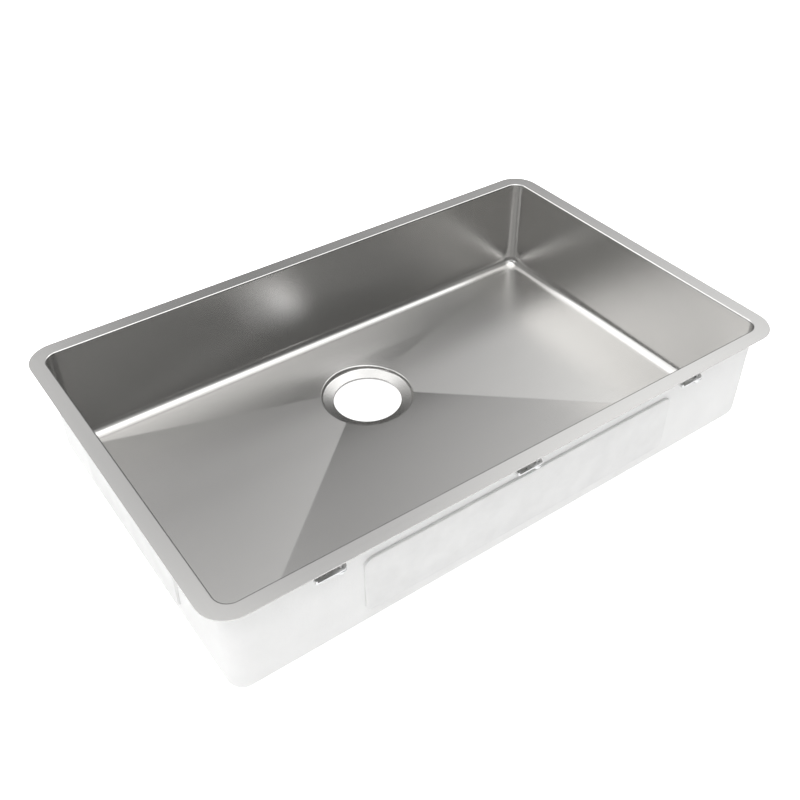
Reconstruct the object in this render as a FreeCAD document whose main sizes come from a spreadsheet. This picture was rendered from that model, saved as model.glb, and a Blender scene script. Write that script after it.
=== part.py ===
import FreeCAD, Part

import math
import os

import Sketcher

# Single-bowl sheet-steel sink with a flat rim. Frame: origin at the centre of the
# rim's top face, +X along the length, +Y towards the back (drain side), +Z up. All in mm.

doc = FreeCAD.newDocument("sink")
V = FreeCAD.Vector

# ---------------------------------------------------------------- driving dimensions
sheet = doc.addObject("Spreadsheet::Sheet", "dims")
SIZES = [
    ("rim_len", 750.0),  # outer length of the flat rim
    ("rim_wid", 474.0),  # outer width of the flat rim
    ("rim_corner", 34.0),  # plan radius of the rim's outer corners
    ("rim_flat", 19.0),  # rim edge to the bowl's inner wall face
    ("gauge", 1.2),  # sheet thickness
    ("bend_rad", 2.6),  # top radius where the rim turns down into the bowl
    ("seam_drop", 4.0),  # depth of the weld seam between rim and wall band
    ("corner_rad", 13.5),  # inner radius of upright corners and of the floor cove
    ("wall_tangent", 121.5),  # depth at which the upright wall meets the cove
    ("drain_y", 88.5),  # drain centre, behind the middle
    ("crease_y", 105.0),  # point behind the drain centre where the floor creases aim
    ("floor_fall", 7.0),  # fall of the creased floor to that point
    ("hole_rad", 44.45),  # drain opening
    ("lip_len", 2.5),  # down-turned lip of the drain opening
    ("ring_rad", 59.3),  # outer radius of the drain recess
    ("dish_rad", 58.1),  # outer radius of the conical dish in the recess
    ("recess_deep", 15.8),  # floor edge level to the bottom of the drain lip
    ("dish_rise", 5.8),  # bottom of the lip to the outer edge of the dish
    ("step_rise", 7.0),  # bottom of the lip to the foot of the step
    ("coat", 0.8),  # sprayed sound-deadening coat
    ("coat_top", 16.0),  # depth at which the coat starts below the rim
    ("coat_clear", 76.0),  # bare radius around the drain
    ("pad_thick", 3.0),  # glued-on sound pads
    ("pad_high", 76.0),
    ("pad_drop", 34.0),
    ("pad_long", 420.0),
    ("pad_short", 220.0),
    ("stud_inset", 8.5),  # rim edge to the stud axis
    ("stud_rad", 2.5),
    ("stud_len", 22.0),
    ("weld_rad", 3.6),
    ("weld_high", 0.9),
    ("stud_tip", 0.5),
    ("station_pitch", 240.0),  # spacing of the clamps along the long sides
    ("toggle_drop", 15.0),  # depth of the toggle's underside at rest
    ("toggle_thick", 2.0),
    ("toggle_half", 5.5),
    ("toggle_reach", 30.0),
    ("toggle_bore", 2.58),
    ("toe_high", 3.2),
    ("toe_long", 2.4),
    ("washer_rad", 5.0),
    ("washer_bore", 2.58),
    ("washer_thick", 1.0),
    ("nut_flats", 8.0),
    ("nut_high", 4.7),
    ("nut_skirt_rad", 5.7),
    ("nut_skirt_high", 1.1),
    ("nut_bore", 2.55),
]
for i, (name, value) in enumerate(SIZES):
    cell = "B%d" % (i + 1)
    sheet.set("A%d" % (i + 1), name)
    sheet.set(cell, repr(value))
    sheet.setAlias(cell, name)
doc.recompute()


def d(name):
    return float(getattr(sheet, name))


def bind(obj, **exprs):
    for prop, text in exprs.items():
        obj.setExpression(prop, text)
    return obj


def put(obj, x="0", y="0", z="0"):
    for axis, text in (("x", x), ("y", y), ("z", z)):
        obj.setExpression("Placement.Base.%s" % axis, text)
    return obj


D = lambda name: "dims." + name
BOWL_L = "(dims.rim_len - 2*dims.rim_flat)"
BOWL_W = "(dims.rim_wid - 2*dims.rim_flat)"
FLOOR = "(dims.wall_tangent + dims.corner_rad)"


def slab(name, length, width, low, high):
    """A box centred on the origin in plan, between two heights."""
    b = doc.addObject("Part::Box", name)
    bind(b, Length=length, Width=width, Height="(%s) - (%s)" % (high, low))
    put(b, "-(%s)/2" % length, "-(%s)/2" % width, low)
    return b


def upright(e):
    a, b = e.Vertexes[0].Point, e.Vertexes[-1].Point
    return len(e.Vertexes) == 2 and abs(a.x - b.x) < 1e-6 and abs(a.y - b.y) < 1e-6


def rounded(name, base, radius, bottom=False):
    """Round the upright edges, and with them the bottom edges of a pan."""
    doc.recompute()
    low = base.Shape.BoundBox.ZMin
    picks = []
    for i, e in enumerate(base.Shape.Edges):
        box = e.BoundBox
        if upright(e) or (bottom and box.ZMax - low < 1e-6):
            picks.append((i + 1, radius, radius))
    f = doc.addObject("Part::Fillet", name)
    f.Base = base
    f.Edges = picks
    doc.recompute()
    return f


def cut(name, base, tool):
    c = doc.addObject("Part::Cut", name)
    c.Base, c.Tool = base, tool
    return c


def fuse(name, *shapes):
    c = doc.addObject("Part::MultiFuse", name)
    c.Shapes = list(shapes)
    c.Refine = True
    return c


# ---------------------------------------------------------------- rim flange
t = d("gauge")
plate = rounded(
    "rim_plate",
    slab("rim_plate_box", D("rim_len"), D("rim_wid"), "-dims.gauge", "0"),
    d("rim_corner"),
)
leg = rounded(
    "rim_leg",
    slab(
        "rim_leg_box",
        BOWL_L + " + 2*dims.gauge",
        BOWL_W + " + 2*dims.gauge",
        "-dims.seam_drop",
        "0",
    ),
    d("corner_rad") + t,
)
opening = rounded(
    "rim_opening",
    slab("rim_opening_box", BOWL_L, BOWL_W, "-dims.seam_drop - 1", "1"),
    d("corner_rad"),
)
rim_sharp = cut("rim_sharp", fuse("rim_solid", plate, leg), opening)
doc.recompute()

half_l = d("rim_len") / 2 - d("rim_flat")
half_w = d("rim_wid") / 2 - d("rim_flat")
bend_top, bend_under = [], []
for i, e in enumerate(rim_sharp.Shape.Edges):
    b = e.BoundBox
    flat = b.ZMax - b.ZMin < 1e-6
    far_x = max(abs(b.XMin), abs(b.XMax))
    far_y = max(abs(b.YMin), abs(b.YMax))
    if flat and abs(b.ZMax) < 1e-6 and far_x < half_l + 0.01 and far_y < half_w + 0.01:
        bend_top.append((i + 1, d("bend_rad"), d("bend_rad")))
    if flat and abs(b.ZMax + t) < 1e-6 and far_x < half_l + t + 0.01 and far_y < half_w + t + 0.01:
        bend_under.append((i + 1, d("bend_rad") - t, d("bend_rad") - t))
rim = doc.addObject("Part::Fillet", "rim_whole")
rim.Base = rim_sharp
rim.Edges = bend_top + bend_under

# ---------------------------------------------------------------- wall band
band_out = rounded(
    "band_outside",
    slab(
        "band_outside_box",
        BOWL_L + " + 2*dims.gauge",
        BOWL_W + " + 2*dims.gauge",
        "-dims.wall_tangent",
        "-dims.seam_drop",
    ),
    d("corner_rad") + t,
)
band_in = rounded(
    "band_inside",
    slab("band_inside_box", BOWL_L, BOWL_W, "-dims.wall_tangent - 1", "-dims.seam_drop + 1"),
    d("corner_rad"),
)
wall_band = cut("wall_whole", band_out, band_in)

# ---------------------------------------------------------------- creased floor
floor_z = -(d("wall_tangent") + d("corner_rad"))
run_x = half_l - d("corner_rad")
run_y = half_w - d("corner_rad")
apex_z = floor_z - d("floor_fall")
crease_y = d("crease_y")


def funnel(name, drop):
    """Four planes from the floor's rectangle to one low point by the drain, closed on top."""
    ring = [V(-run_x, -run_y, floor_z), V(run_x, -run_y, floor_z), V(run_x, run_y, floor_z), V(-run_x, run_y, floor_z)]
    low = [p - V(0, 0, drop) for p in ring]
    apex = V(0, crease_y, apex_z - drop)
    faces = [Part.Face(Part.makePolygon(ring + [ring[0]]))]
    for k in range(4):
        j = (k + 1) % 4
        if drop:
            faces.append(Part.Face(Part.makePolygon([ring[k], ring[j], low[j], low[k], ring[k]])))
        faces.append(Part.Face(Part.makePolygon([low[k], low[j], apex, low[k]])))
    solid = Part.makeSolid(Part.makeShell(faces))
    if solid.Volume < 0:
        solid.reverse()
    f = doc.addObject("Part::Feature", name)
    f.Shape = solid
    return f


def pan(name, inner, outer, inner_e, outer_e, top_e):
    """Cove ring around the floor, between two offsets of the bowl's inner face."""
    out = rounded(
        name + "_outside",
        slab(
            name + "_outside_box",
            BOWL_L + " + 2*(%s)" % outer_e,
            BOWL_W + " + 2*(%s)" % outer_e,
            "-%s - (%s)" % (FLOOR, outer_e),
            "0",
        ),
        d("corner_rad") + outer,
        bottom=True,
    )
    ins = rounded(
        name + "_inside",
        slab(
            name + "_inside_box",
            BOWL_L + " + 2*(%s)" % inner_e,
            BOWL_W + " + 2*(%s)" % inner_e,
            "-%s - (%s)" % (FLOOR, inner_e),
            "10",
        ),
        d("corner_rad") + inner,
        bottom=True,
    )
    shell = cut(name + "_shell", out, ins)
    lid = slab(name + "_lid", D("rim_len"), D("rim_wid"), top_e, "20")
    well = slab(
        name + "_well",
        "(%s - 2*dims.corner_rad)" % BOWL_L,
        "(%s - 2*dims.corner_rad)" % BOWL_W,
        "-%s - 10" % FLOOR,
        "-%s + 10" % FLOOR,
    )
    return cut(name + "_cove", cut(name + "_open", shell, lid), well)


def drain_post(name, radius):
    c = doc.addObject("Part::Cylinder", name)
    bind(c, Radius=radius, Height="60")
    put(c, "0", D("drain_y"), "-%s - 40" % FLOOR)
    return c


def revolved(name, points):
    """A ring turned about Z from a closed outline of (radius, height) expressions."""
    body = doc.addObject("PartDesign::Body", name)
    plane = [f for f in body.Origin.OriginFeatures if f.Role == "XZ_Plane"][0]
    sk = body.newObject("Sketcher::SketchObject", name + "_outline")
    sk.AttachmentSupport = [(plane, "")]
    sk.MapMode = "FlatFace"
    doc.recompute()
    values = []
    for r, z in points:
        values.append((float(FreeCAD.Units.Quantity(str(ev(r)))), float(ev(z))))
    n = len(values)
    for k in range(n):
        a, b = values[k], values[(k + 1) % n]
        sk.addGeometry(Part.LineSegment(V(a[0], a[1], 0), V(b[0], b[1], 0)), False)
    for k in range(n):
        sk.addConstraint(Sketcher.Constraint("Coincident", k, 2, (k + 1) % n, 1))
    for k, (r, z) in enumerate(points):
        c = sk.addConstraint(Sketcher.Constraint("DistanceX", -1, 1, k, 1, values[k][0]))
        sk.setExpression("Constraints[%d]" % c, r)
        if values[k][1] > 1e-9:
            c = sk.addConstraint(Sketcher.Constraint("DistanceY", -1, 1, k, 1, values[k][1]))
            sk.setExpression("Constraints[%d]" % c, z)
        else:
            sk.addConstraint(Sketcher.Constraint("PointOnObject", k, 1, -1))
    doc.recompute()
    rev = body.newObject("PartDesign::Revolution", name + "_turn")
    rev.Profile = sk
    rev.ReferenceAxis = (sk, ["V_Axis"])
    rev.Angle = 360.0
    body.Tip = rev
    doc.recompute()
    return body


def ev(text):
    """The number that an expression in sheet aliases stands for."""
    return sheet.evalExpression(text.replace("dims.", ""))


recess = revolved(
    "drain_recess",
    [
        ("dims.hole_rad", "0"),
        ("dims.hole_rad + dims.gauge", "0"),
        ("dims.hole_rad + dims.gauge", "dims.lip_len - 0.9"),
        ("dims.dish_rad + 0.9", "dims.dish_rise - 1.0"),
        ("dims.ring_rad + dims.gauge", "dims.step_rise - 0.6"),
        ("dims.ring_rad + dims.gauge", "dims.recess_deep - 1.0"),
        ("dims.ring_rad", "dims.recess_deep - 1.0"),
        ("dims.ring_rad", "dims.step_rise"),
        ("dims.dish_rad", "dims.dish_rise"),
        ("dims.hole_rad", "dims.lip_len"),
    ],
)
put(recess, "0", D("drain_y"), "-%s - dims.recess_deep" % FLOOR)
doc.recompute()

above = funnel("floor_above", 0.0)
floor_sheet = cut("floor_facets", funnel("floor_below", t), above)
floor_holed = cut("floor_holed", floor_sheet, drain_post("floor_hole", "dims.ring_rad + dims.gauge"))
recess_trim = cut("recess_trimmed", recess, above)
cove = pan("pan", 0.0, t, "0", "dims.gauge", "-dims.wall_tangent")
floor_plate = fuse("floor_plate", floor_holed, recess_trim)

# ---------------------------------------------------------------- mitred strips, welded along the corners
MITRE = "(%s - %s)/2" % (BOWL_L, BOWL_W)
SIDES = [("front", 0.0, "0", MITRE), ("back", 180.0, "0", MITRE), ("left", -90.0, MITRE, "0"), ("right", 90.0, MITRE, "0")]


def sector(name, yaw, near, narrow):
    """The part of the plan that belongs to one side, bounded by the two corner mitres."""
    w = doc.addObject("Part::Wedge", name)
    deep = "(%s) + 300" % near
    wide = "(%s) + 300" % narrow
    bind(
        w,
        Xmin="-(%s)" % wide,
        Xmax=wide,
        Ymin="-(%s)" % deep,
        Ymax="-(%s)" % near,
        Zmin="-200",
        Zmax="20",
        X2min="-(%s)" % narrow,
        X2max=narrow,
        Z2min="-200",
        Z2max="20",
    )
    w.Placement = FreeCAD.Placement(V(0, 0, 0), FreeCAD.Rotation(V(0, 0, 1), yaw))
    return w


NODES = []
doc.recompute()
for kind, whole in (("rim", rim), ("wall", wall_band), ("cove", cove)):
    for side, yaw, near, narrow in SIDES:
        strip = doc.addObject("Part::Common", "%s_%s" % (kind, side))
        strip.Base, strip.Tool = whole, sector("%s_%s_sector" % (kind, side), yaw, near, narrow)
        NODES.append(strip)
NODES.append(floor_plate)

# ---------------------------------------------------------------- sprayed coat on the outside
c_out = t + d("coat")
coat_cove = pan("coat", t, c_out, "dims.gauge", "dims.gauge + dims.coat", "-dims.coat_top")
coat_sheet = cut("coat_facets", funnel("coat_below", c_out), funnel("coat_above", t))
coat_holed = cut("coat_holed", coat_sheet, drain_post("coat_hole", "dims.coat_clear"))
undercoat = fuse("undercoat", coat_cove, coat_holed)

# ---------------------------------------------------------------- sound pads
NODES.append(undercoat)


def wall_pad(name, length, thick_on_x, sign):
    b = doc.addObject("Part::Box", name)
    gap = "dims.gauge + dims.coat"
    if thick_on_x:
        bind(b, Length="dims.pad_thick", Width=length, Height="dims.pad_high")
        x = "%s/2 + %s" % (BOWL_L, gap)
        put(b, x if sign > 0 else "-(%s) - dims.pad_thick" % x, "-%s/2" % length, "-dims.pad_drop - dims.pad_high")
    else:
        bind(b, Length=length, Width="dims.pad_thick", Height="dims.pad_high")
        y = "%s/2 + %s" % (BOWL_W, gap)
        put(b, "-%s/2" % length, y if sign > 0 else "-(%s) - dims.pad_thick" % y, "-dims.pad_drop - dims.pad_high")
    NODES.append(b)


wall_pad("pad_front", "dims.pad_long", False, -1)
wall_pad("pad_back", "dims.pad_long", False, 1)
wall_pad("pad_left", "dims.pad_short", True, -1)
wall_pad("pad_right", "dims.pad_short", True, 1)


def floor_pad(name, x0, x1, y0, y1, axis, tilt, start):
    """A slab glued flat against the underside of one floor facet."""
    b = doc.addObject("Part::Box", name)
    along = math.cos(math.radians(abs(tilt)))
    dx, dy = (x1 - x0), (y1 - y0)
    b.Length = dx / along if axis == "y" else dx
    b.Width = dy / along if axis == "x" else dy
    b.setExpression("Height", "dims.pad_thick")
    rot = FreeCAD.Rotation(V(1, 0, 0) if axis == "x" else V(0, 1, 0), tilt)
    b.Placement = FreeCAD.Placement(V(x0, y0, start), rot).multiply(
        FreeCAD.Placement(V(0, 0, -d("pad_thick")), FreeCAD.Rotation())
    )
    NODES.append(b)


under = floor_z - c_out
fall_f = d("floor_fall") / (crease_y + run_y)
fall_b = d("floor_fall") / (run_y - crease_y)
fall_s = d("floor_fall") / run_x
floor_pad("pad_floor_front", -150, 150, -178, -66, "x", -math.degrees(math.atan(fall_f)), under - fall_f * (-178 + run_y))
floor_pad("pad_floor_back", -190, 190, 168, 196, "x", math.degrees(math.atan(fall_b)), under - fall_b * (run_y - 168))
floor_pad("pad_floor_left", -312, -200, -60, 140, "y", math.degrees(math.atan(fall_s)), under - fall_s * (run_x - 312))
floor_pad("pad_floor_right", 200, 312, -60, 140, "y", -math.degrees(math.atan(fall_s)), under - fall_s * (run_x - 200))

# ---------------------------------------------------------------- hold-down clamps under the rim
STUD_Y = "(dims.rim_wid/2 - dims.stud_inset)"
STUD_X = "(dims.rim_len/2 - dims.stud_inset)"
STATIONS = [
    ("-dims.station_pitch", "-" + STUD_Y, 180.0),
    ("0", "-" + STUD_Y, 180.0),
    ("dims.station_pitch", "-" + STUD_Y, 180.0),
    ("-dims.station_pitch", STUD_Y, 0.0),
    ("0", STUD_Y, 0.0),
    ("dims.station_pitch", STUD_Y, 0.0),
    ("-" + STUD_X, "0", 90.0),
    (STUD_X, "0", -90.0),
]


def turn_about(name, kind, x, y, z, **sizes):
    o = doc.addObject(kind, name)
    bind(o, **sizes)
    put(o, x, y, z)
    return o


studs = []
for i, (x, y, yaw) in enumerate(STATIONS):
    k = i + 1
    shank = turn_about("shank_%d" % k, "Part::Cylinder", x, y, "-dims.gauge - dims.stud_len + dims.stud_tip",
                       Radius="dims.stud_rad", Height="dims.stud_len - dims.stud_tip")
    tip = turn_about("tip_%d" % k, "Part::Cone", x, y, "-dims.gauge - dims.stud_len",
                     Radius1="dims.stud_rad - dims.stud_tip", Radius2="dims.stud_rad", Height="dims.stud_tip")
    weld = turn_about("weld_%d" % k, "Part::Cone", x, y, "-dims.gauge - dims.weld_high",
                      Radius1="dims.stud_rad + 0.1", Radius2="dims.weld_rad", Height="dims.weld_high")
    studs.append(fuse("stud_%d" % k, shank, tip, weld))
stud_group = doc.addObject("Part::Compound", "weld_studs")
stud_group.Links = studs
NODES.append(stud_group)


def toggle(name, x, y, yaw):
    """A flat swivel bar with a round heel, a bore for the stud and an upturned toe."""
    body = doc.addObject("PartDesign::Body", name)
    plane = [f for f in body.Origin.OriginFeatures if f.Role == "XY_Plane"][0]
    sk = body.newObject("Sketcher::SketchObject", name + "_outline")
    sk.AttachmentSupport = [(plane, "")]
    sk.MapMode = "FlatFace"
    doc.recompute()
    w, reach = d("toggle_half"), d("toggle_reach")
    sk.addGeometry(Part.LineSegment(V(0, -w, 0), V(reach, -w, 0)), False)
    sk.addGeometry(Part.LineSegment(V(reach, -w, 0), V(reach, w, 0)), False)
    sk.addGeometry(Part.LineSegment(V(reach, w, 0), V(0, w, 0)), False)
    sk.addGeometry(Part.ArcOfCircle(Part.Circle(V(0, 0, 0), V(0, 0, 1), w), math.pi / 2, 3 * math.pi / 2), False)
    sk.addGeometry(Part.Circle(V(0, 0, 0), V(0, 0, 1), d("toggle_bore")), False)
    sk.addConstraint(Sketcher.Constraint("Coincident", 0, 2, 1, 1))
    sk.addConstraint(Sketcher.Constraint("Coincident", 1, 2, 2, 1))
    sk.addConstraint(Sketcher.Constraint("Tangent", 2, 2, 3, 1))
    sk.addConstraint(Sketcher.Constraint("Tangent", 3, 2, 0, 1))
    sk.addConstraint(Sketcher.Constraint("Coincident", 3, 3, -1, 1))
    sk.addConstraint(Sketcher.Constraint("Coincident", 4, 3, -1, 1))
    sk.addConstraint(Sketcher.Constraint("Horizontal", 0))
    sk.addConstraint(Sketcher.Constraint("Vertical", 1))
    c = sk.addConstraint(Sketcher.Constraint("Radius", 3, w))
    sk.setExpression("Constraints[%d]" % c, "dims.toggle_half")
    c = sk.addConstraint(Sketcher.Constraint("Radius", 4, d("toggle_bore")))
    sk.setExpression("Constraints[%d]" % c, "dims.toggle_bore")
    c = sk.addConstraint(Sketcher.Constraint("DistanceX", -1, 1, 0, 2, reach))
    sk.setExpression("Constraints[%d]" % c, "dims.toggle_reach")
    doc.recompute()
    bar = body.newObject("PartDesign::Pad", name + "_bar")
    bar.Profile = sk
    bar.setExpression("Length", "dims.toggle_thick")
    doc.recompute()
    sk2 = body.newObject("Sketcher::SketchObject", name + "_toe_outline")
    sk2.AttachmentSupport = [(plane, "")]
    sk2.MapMode = "FlatFace"
    sk2.setExpression("AttachmentOffset.Base.z", "dims.toggle_thick")
    doc.recompute()
    toe = d("toe_long")
    pts = [V(reach - toe, -w, 0), V(reach, -w, 0), V(reach, w, 0), V(reach - toe, w, 0)]
    for k in range(4):
        sk2.addGeometry(Part.LineSegment(pts[k], pts[(k + 1) % 4]), False)
    for k in range(4):
        sk2.addConstraint(Sketcher.Constraint("Coincident", k, 2, (k + 1) % 4, 1))
    for k in (0, 2):
        sk2.addConstraint(Sketcher.Constraint("Horizontal", k))
    sk2.addConstraint(Sketcher.Constraint("Vertical", 3))
    sk2.addConstraint(Sketcher.Constraint("Symmetric", 0, 2, 1, 2, -1))
    c = sk2.addConstraint(Sketcher.Constraint("DistanceX", -1, 1, 0, 2, reach))
    sk2.setExpression("Constraints[%d]" % c, "dims.toggle_reach")
    c = sk2.addConstraint(Sketcher.Constraint("DistanceX", 0, 1, 0, 2, toe))
    sk2.setExpression("Constraints[%d]" % c, "dims.toe_long")
    c = sk2.addConstraint(Sketcher.Constraint("DistanceY", 1, 1, 1, 2, 2 * w))
    sk2.setExpression("Constraints[%d]" % c, "2*dims.toggle_half")
    doc.recompute()
    lip = body.newObject("PartDesign::Pad", name + "_toe")
    lip.Profile = sk2
    lip.setExpression("Length", "dims.toe_high")
    body.Tip = lip
    doc.recompute()
    body.Placement = FreeCAD.Placement(V(0, 0, 0), FreeCAD.Rotation(V(0, 0, 1), yaw))
    put(body, x, y, "-dims.toggle_drop")
    return body


for i, (x, y, yaw) in enumerate(STATIONS):
    k = i + 1
    NODES.append(toggle("toggle_%d" % k, x, y, yaw))
    low = "-dims.toggle_drop - dims.washer_thick"
    disc = turn_about("washer_disc_%d" % k, "Part::Cylinder", x, y, low, Radius="dims.washer_rad", Height="dims.washer_thick")
    eye = turn_about("washer_eye_%d" % k, "Part::Cylinder", x, y, low + " - 1", Radius="dims.washer_bore", Height="dims.washer_thick + 2")
    NODES.append(cut("washer_%d" % k, disc, eye))
    foot = low + " - dims.nut_high"
    hexagon = turn_about("nut_hex_%d" % k, "Part::Prism", x, y, foot, Circumradius="dims.nut_flats / sqrt(3)", Height="dims.nut_high")
    hexagon.Polygon = 6
    skirt = turn_about("nut_skirt_%d" % k, "Part::Cylinder", x, y, low + " - dims.nut_skirt_high", Radius="dims.nut_skirt_rad", Height="dims.nut_skirt_high")
    bore = turn_about("nut_eye_%d" % k, "Part::Cylinder", x, y, foot + " - 1", Radius="dims.nut_bore", Height="dims.nut_high + 2")
    NODES.append(cut("nut_%d" % k, fuse("nut_solid_%d" % k, hexagon, skirt), bore))

doc.recompute()

# ---------------------------------------------------------------- tests before writing
bad = [o.Name + ":" + ",".join(o.State) for o in doc.Objects if set(o.State) & {"Invalid", "Error"}]
if bad:
    raise RuntimeError("failed objects: %s" % bad)
for o in NODES:
    o.Label = o.Name
    if o.Shape.isNull() or not o.Shape.isValid() or not o.Shape.Solids:
        raise RuntimeError("no sound shape in %s" % o.Name)

os.makedirs("parts", exist_ok=True)
for old in os.listdir("parts"):
    if old.endswith(".step"):
        os.remove(os.path.join("parts", old))
for o in NODES:
    o.Shape.exportStep(os.path.join("parts", o.Label + ".step"))
    b = o.Shape.BoundBox
    print("%-18s solids %d volume %10.1f  x %.2f..%.2f  y %.2f..%.2f  z %.2f..%.2f" % (
        o.Label, len(o.Shape.Solids), o.Shape.Volume, b.XMin, b.XMax, b.YMin, b.YMax, b.ZMin, b.ZMax))
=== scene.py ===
import math

import bmesh
import bpy
from mathutils import Matrix, Vector


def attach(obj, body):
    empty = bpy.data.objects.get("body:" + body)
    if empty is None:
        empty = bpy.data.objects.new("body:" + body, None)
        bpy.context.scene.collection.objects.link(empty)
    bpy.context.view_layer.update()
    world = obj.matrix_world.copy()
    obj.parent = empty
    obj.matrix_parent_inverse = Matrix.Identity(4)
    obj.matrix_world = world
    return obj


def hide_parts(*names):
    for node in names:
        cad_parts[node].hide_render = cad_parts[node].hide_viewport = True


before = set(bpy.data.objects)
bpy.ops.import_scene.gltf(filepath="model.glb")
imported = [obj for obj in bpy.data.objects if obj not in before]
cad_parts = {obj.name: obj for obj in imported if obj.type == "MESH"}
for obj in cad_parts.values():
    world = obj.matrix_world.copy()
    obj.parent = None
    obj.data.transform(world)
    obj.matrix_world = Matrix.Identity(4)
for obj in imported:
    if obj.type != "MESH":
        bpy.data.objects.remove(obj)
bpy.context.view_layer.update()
MM = 0.001

# ------------------------------------------------------------------ sizes (mm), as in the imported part
RIM_X, RIM_Y = 375.0, 237.0  # half size of the rim
RIM_R = 34.0  # its plan corners
BOWL_X, BOWL_Y = 356.0, 218.0  # half size of the bowl's inner face
COVE = 13.5  # radius of the floor cove
CORNER = 16.5  # radius of the upright corners, eased a little where the panels are welded and ground
GAUGE = 1.2
BEND = 2.0
SEAM = 4.0
TANGENT = -121.5
FLOOR = -135.0
DRAIN_Y = 88.5
HOLE_R = 44.45
RING_R = 59.3
DISH_R, DISH_Z = 58.1, -145.0  # outer edge of the dish in the recess
LIP_TOP = -148.3
LIP_LOW = -150.8
APEX = (0.0, 104.6, -142.0)  # where the four floor creases aim
CREASE_FRONT = -199.0  # the front creases meet the side edges here


# ------------------------------------------------------------------ mesh building
class Mesh:
    """Vertices in mm and faces with a normal at each corner."""

    def __init__(self):
        self.verts, self.faces, self.normals = [], [], []

    def add(self, p):
        self.verts.append((p[0] * MM, p[1] * MM, p[2] * MM))
        return len(self.verts) - 1

    def face(self, ids, normals=None):
        keep = [k for k in range(len(ids)) if ids[k] != ids[k - 1]]
        if len(keep) < 3:
            return
        self.faces.append([ids[k] for k in keep])
        self.normals.append(None if normals is None else [normals[k] for k in keep])

    def make(self, name, slot, body, *nodes, soften=None):
        me = bpy.data.meshes.new(name)
        me.from_pydata(self.verts, [], self.faces)
        me.update()
        if soften is not None:
            bm = bmesh.new()
            bm.from_mesh(me)
            bmesh.ops.recalc_face_normals(bm, faces=bm.faces)
            bm.to_mesh(me)
            bm.free()
        me.polygons.foreach_set("use_smooth", [True] * len(me.polygons))
        if any(n is not None for n in self.normals):
            loops = []
            for poly, given in zip(me.polygons, self.normals):
                flat = tuple(poly.normal)
                for k in range(poly.loop_total):
                    n = Vector(flat if given is None else given[k])
                    n.normalize()
                    loops.append(tuple(n))
            me.normals_split_custom_set(loops)
        elif soften is not None:
            me.set_sharp_from_angle(angle=math.radians(soften))
        ob = bpy.data.objects.new(name, me)
        bpy.context.scene.collection.objects.link(ob)
        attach(ob, body)
        if nodes:
            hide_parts(*nodes)
        return ob


def spread(a, b, n, ends=0.0):
    """n + 1 values from a to b, closer together at both ends if ends > 0."""
    out = []
    for k in range(n + 1):
        t = k / n
        s = t - ends * math.sin(2 * math.pi * t) / (2 * math.pi)
        out.append(a + (b - a) * s)
    return out


def path(cx, cy, r, corner=10, xs=None, ys=None):
    """Points round a rounded rectangle, anticlockwise from the front left, with outward normals.
    cx and cy are the corner centres; xs and ys are fractions (-1..1) along the straight runs."""
    xs = spread(-1, 1, 24, 0.6) if xs is None else xs
    ys = spread(-1, 1, 16, 0.6) if ys is None else ys
    out = []
    for x in xs[:-1]:
        out.append((cx * x, -cy - r, 0.0, -1.0))
    for k in range(corner):
        a = -math.pi / 2 + math.pi / 2 * k / corner
        out.append((cx + r * math.cos(a), -cy + r * math.sin(a), math.cos(a), math.sin(a)))
    for y in ys[:-1]:
        out.append((cx + r, cy * y, 1.0, 0.0))
    for k in range(corner):
        a = math.pi / 2 * k / corner
        out.append((cx + r * math.cos(a), cy + r * math.sin(a), math.cos(a), math.sin(a)))
    for x in xs[:-1]:
        out.append((-cx * x, cy + r, 0.0, 1.0))
    for k in range(corner):
        a = math.pi / 2 + math.pi / 2 * k / corner
        out.append((-cx + r * math.cos(a), cy + r * math.sin(a), math.cos(a), math.sin(a)))
    for y in ys[:-1]:
        out.append((-cx - r, -cy * y, -1.0, 0.0))
    for k in range(corner):
        a = math.pi + math.pi / 2 * k / corner
        out.append((-cx + r * math.cos(a), -cy + r * math.sin(a), math.cos(a), math.sin(a)))
    return out


def sweep(mesh, runs, loop):
    """Sweeps a closed outline round a path. runs is a list of runs; each run is a list of
    (ring, z, normal outwards, normal up), where ring is a list of (x, y, nx, ny)."""
    rows = []
    for run in runs:
        for ring, z, nr, nz in run:
            rows.append((ring, z, nr, nz))
    ids, merged = [], []
    for ring, z, nr, nz in rows:
        if merged and merged[-1][0] is ring and abs(merged[-1][1] - z) < 1e-9:
            ids.append(ids[-1])
        elif merged and loop and merged[0][0] is ring and abs(merged[0][1] - z) < 1e-9 and len(ids) > 3:
            ids.append(ids[0])
        else:
            ids.append([mesh.add((p[0], p[1], z)) for p in ring])
        merged.append((ring, z))
    k = 0
    for run in runs:
        for j in range(len(run) - 1):
            a, b = ids[k + j], ids[k + j + 1]
            ra, rb = run[j], run[j + 1]
            n = len(a)
            for i in range(n):
                i2 = (i + 1) % n
                na = [(p[2] * ra[2], p[3] * ra[2], ra[3]) for p in (ra[0][i], ra[0][i2])]
                nb = [(p[2] * rb[2], p[3] * rb[2], rb[3]) for p in (rb[0][i], rb[0][i2])]
                mesh.face([a[i], a[i2], b[i2], b[i]], [na[0], na[1], nb[1], nb[0]])
        k += len(run)


# boundary of the floor: fractions along the long and short edges, denser at the ends
XS = spread(-1, 1, 56, 0.75)
YS = spread(-1, 1, 40, 0.75)
NC = 14
CX, CY = BOWL_X - COVE, BOWL_Y - COVE  # half size of the flat floor
KX, KY = BOWL_X - CORNER, BOWL_Y - CORNER  # centres of the upright corners


def bowl_ring(off):
    """The bowl's inner face offset outwards by off (negative goes inwards to the cove's foot)."""
    return path(KX, KY, CORNER + off, NC, XS, YS)


def rim_ring(inset):
    """The rim's outer edge offset inwards by inset."""
    c = RIM_R
    return path(RIM_X - c, RIM_Y - c, c - inset, NC, XS, YS)


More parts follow.
